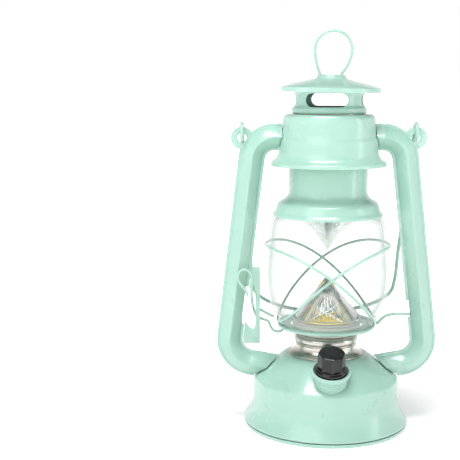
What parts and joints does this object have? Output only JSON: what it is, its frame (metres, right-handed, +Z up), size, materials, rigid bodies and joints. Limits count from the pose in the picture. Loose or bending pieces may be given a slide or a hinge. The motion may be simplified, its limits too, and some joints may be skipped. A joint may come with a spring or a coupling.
{
  "type": "camping lantern",
  "caption": "Battery camping lantern in hurricane-lamp shape: round base with knob, clear globe in a wire guard, two side tubes, vented cap, finger loop and swinging bail.",
  "frame": {"origin": "centre of the lantern's foot, on the surface it stands on", "axes": "+Z up along the lantern's axis, -Y towards the control knob, +X towards the right-hand side tube seen from the knob side"},
  "size_m": [0.1538, 0.115, 0.2744],
  "materials": {
    "painted_steel": "satin mint-green enamel on pressed steel and wire",
    "nickel": "bright nickel plate",
    "globe_glass": "clear, smooth",
    "clear_plastic": "clear moulded plastic, smooth",
    "mirror_plate": "vacuum-plated, bright",
    "black_plastic": "moulded, glossy",
    "grey_plastic": "moulded, matt",
    "white_plastic": "moulded, matt white",
    "phosphor": "yellow light-emitting layer",
    "circuit_board": "green solder mask",
    "spring_steel": "plain bright steel",
    "cell_sleeve": "printed steel can",
    "red_wire": "flexible sleeve",
    "black_wire": "flexible sleeve"
  },
  "bodies": {
    "frame": {"font_shell": "painted_steel", "base_rim": "painted_steel", "battery_tray": "grey_plastic", "battery_left": "cell_sleeve", "battery_right": "cell_sleeve", "contact_spring_left": "spring_steel", "contact_spring_right": "spring_steel", "contact_bridge": "spring_steel", "contact_negative": "spring_steel", "contact_positive": "spring_steel", "tray_post_left": "spring_steel", "tray_post_right": "spring_steel", "tray_screw_left": "spring_steel", "tray_screw_right": "spring_steel", "driver_board": "circuit_board", "cell_wire_negative": "black_wire", "cell_wire_positive": "red_wire", "led_wire_negative": "black_wire", "led_wire_positive": "red_wire", "threaded_spout": "painted_steel", "dimmer_bulkhead": "nickel", "dimmer_control": "grey_plastic", "dimmer_nut": "nickel", "collar": "nickel", "light_holder": "white_plastic", "light_board": "white_plastic", "light_emitter": "phosphor", "cone_lens": "clear_plastic", "air_chamber": "painted_steel", "chamber_floor": "painted_steel", "chimney_spring": "spring_steel", "side_tube_left_front": "painted_steel", "side_tube_left_back": "painted_steel", "side_tube_right_front": "painted_steel", "side_tube_right_back": "painted_steel", "lift_bracket": "painted_steel"},
    "door": {"battery_door": "black_plastic"},
    "knob": {"dimmer_knob": "black_plastic", "dimmer_shaft": "nickel"},
    "globe_carrier": {"globe": "globe_glass", "globe_plate": "painted_steel", "guard_ring": "painted_steel", "guard_hoop_left": "painted_steel", "guard_hoop_right": "painted_steel", "guide_wire_right": "painted_steel", "guide_wire_left": "painted_steel"},
    "lever": {"lift_lever": "painted_steel"},
    "chimney": {"bell_and_neck": "painted_steel", "flue_tube": "nickel", "reflector_holder": "grey_plastic", "mirror_cone": "mirror_plate", "clear_cone": "clear_plastic", "slotted_crown": "painted_steel", "cap": "painted_steel", "finger_loop": "painted_steel"},
    "handle": {"bail": "painted_steel"}
  },
  "joints": [
    {"name": "door_turn", "type": "hinge", "parent": "frame", "child": "door", "pos_m": [0, 0, 0.0025], "axis": [0, 0, 1], "range_deg": [0, 20]},
    {"name": "knob_turn", "type": "hinge", "parent": "frame", "child": "knob", "pos_m": [0, -0.042, 0.0495], "axis": [0, -0.342, 0.9397], "range_deg": [0, 270]},
    {"name": "globe_lift", "type": "slide", "parent": "frame", "child": "globe_carrier", "axis": [0, 0, 1], "range_m": [0, 0.008], "deforming": ["chimney_spring"]},
    {"name": "lever_turn", "type": "hinge", "parent": "frame", "child": "lever", "pos_m": [-0.0518, 0, 0.0843], "axis": [0, -1, 0], "range_deg": [0, 20.2]},
    {"name": "chimney_lift", "type": "slide", "parent": "globe_carrier", "child": "chimney", "axis": [0, 0, 1], "range_m": [0, 0.01], "deforming": ["chimney_spring"]},
    {"name": "bail_swing", "type": "hinge", "parent": "frame", "child": "handle", "pos_m": [0, 0, 0.2053], "axis": [1, 0, 0], "range_deg": [0, 255]}
  ],
  "couplings": [
    {"joint": "lever_turn", "follows": "globe_lift", "rad_per_m": 43.6}
  ]
}
